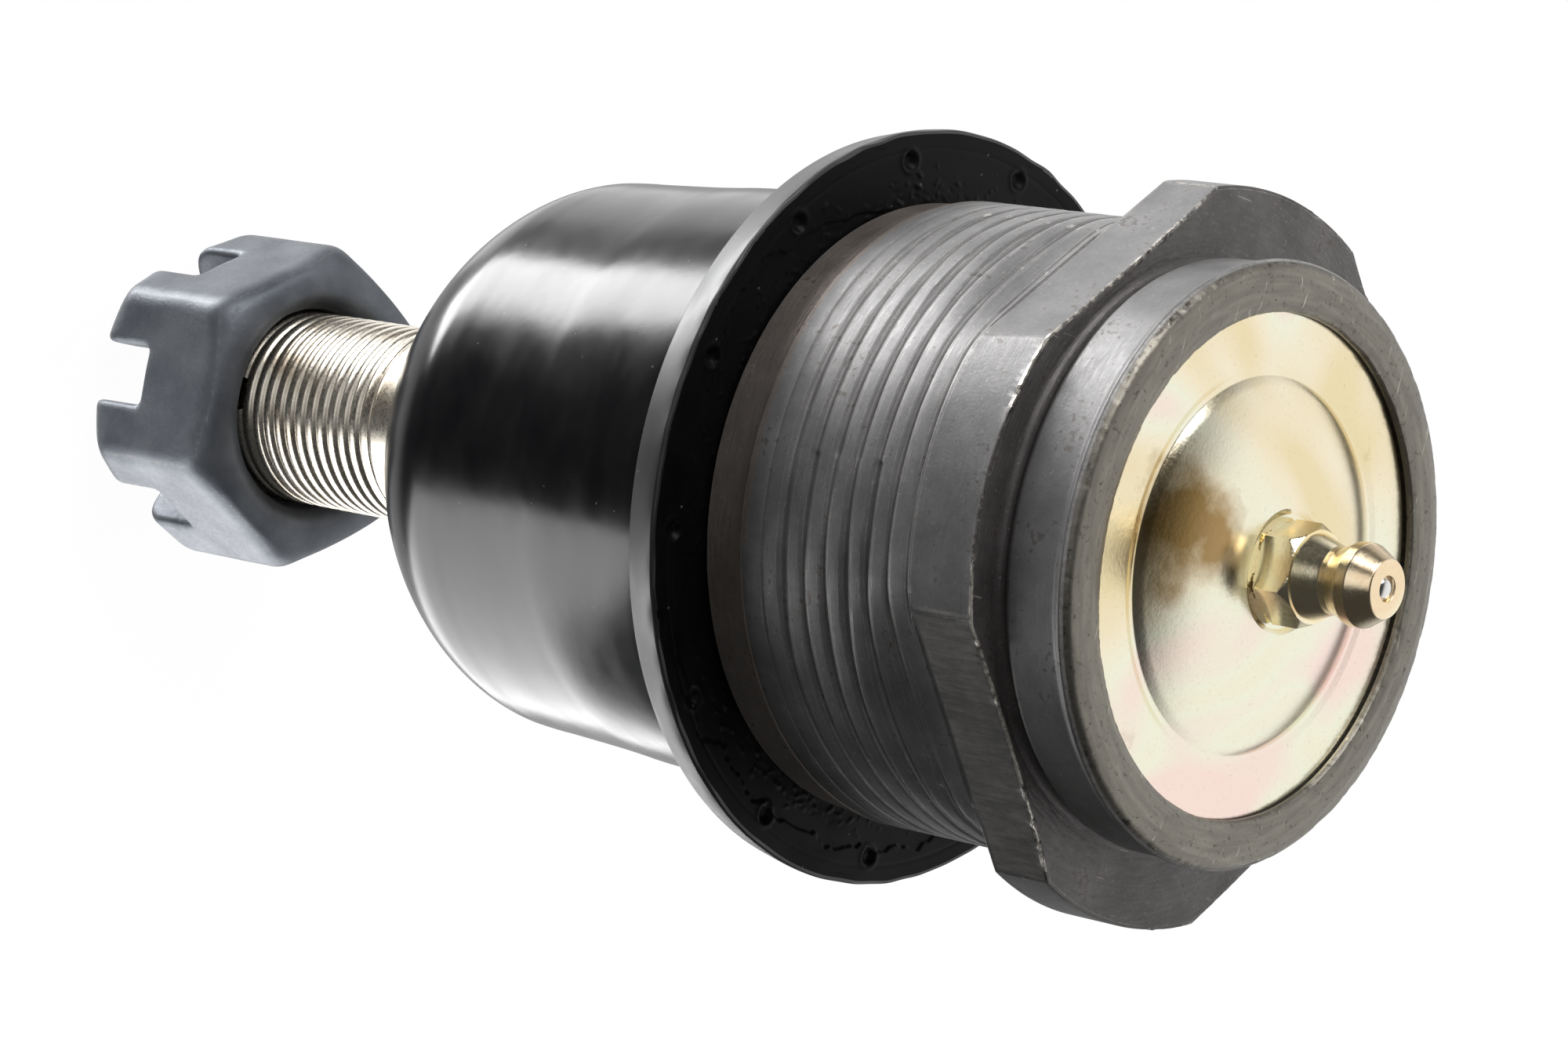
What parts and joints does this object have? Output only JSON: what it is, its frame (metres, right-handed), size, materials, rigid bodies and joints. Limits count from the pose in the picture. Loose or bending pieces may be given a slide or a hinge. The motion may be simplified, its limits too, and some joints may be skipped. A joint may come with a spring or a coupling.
{
  "type": "suspension ball joint",
  "caption": "Screw-in suspension ball joint: threaded housing with wrench head, domed cover and grease fitting, rubber dust boot, tapered ball stud and castle nut.",
  "frame": {"origin": "centre of the ball, which is where the stud pivots", "axes": "+Z along the housing towards the cover plate and the grease fitting; the stud points down -Z at rest. +X points at the corner of the wrench head that is turned flush with the thread"},
  "size_m": [0.0639, 0.0618, 0.1357],
  "materials": {
    "phosphated_steel": "dark grey phosphate, matt",
    "sintered_iron": "oil-soaked sintered iron",
    "spring_steel": "tempered steel",
    "yellow_zinc_plate": "yellow zinc plate, satin",
    "yellow_zinc_steel": "yellow zinc plate, bright",
    "boot_rubber": "smooth glossy black rubber",
    "bright_steel": "bare machined steel",
    "black_oxide_steel": "black oxide",
    "hard_steel": "polished ball"
  },
  "bodies": {
    "body": {"housing": "phosphated_steel", "lower_bearing": "sintered_iron", "preload_disc": "spring_steel", "cover_plate": "yellow_zinc_plate", "fitting_body": "yellow_zinc_steel", "check_spring": "spring_steel", "dust_boot": "boot_rubber", "flange_ring": "bright_steel"},
    "swing": {"upper_bearing": "sintered_iron"},
    "lip": {"lip_ring": "bright_steel"},
    "stud": {"ball_stud": "bright_steel"},
    "nut": {"castle_nut": "black_oxide_steel"},
    "check": {"check_ball": "hard_steel"}
  },
  "joints": [
    {"name": "swing_direction", "type": "hinge", "parent": "body", "child": "swing", "pos_m": [0, 0, 0], "axis": [0, 0, 1], "range_deg": [-90, 90]},
    {"name": "stud_tilt", "type": "hinge", "parent": "swing", "child": "lip", "pos_m": [0, 0, 0], "axis": [1, 0, 0], "range_deg": [-25, 25], "deforming": ["dust_boot"]},
    {"name": "stud_spin", "type": "hinge", "parent": "lip", "child": "stud", "pos_m": [0, 0, 0], "axis": [0, 0, 1], "continuous": true},
    {"name": "nut_travel", "type": "slide", "parent": "stud", "child": "nut", "axis": [0, 0, -1], "range_m": [-0.013, 0.009]},
    {"name": "grease_check", "type": "slide", "parent": "body", "child": "check", "axis": [0, 0, -1], "range_m": [0, 0.001], "stiffness_N_per_m": 250, "springref_m": -0.0006, "deforming": ["check_spring"]}
  ]
}
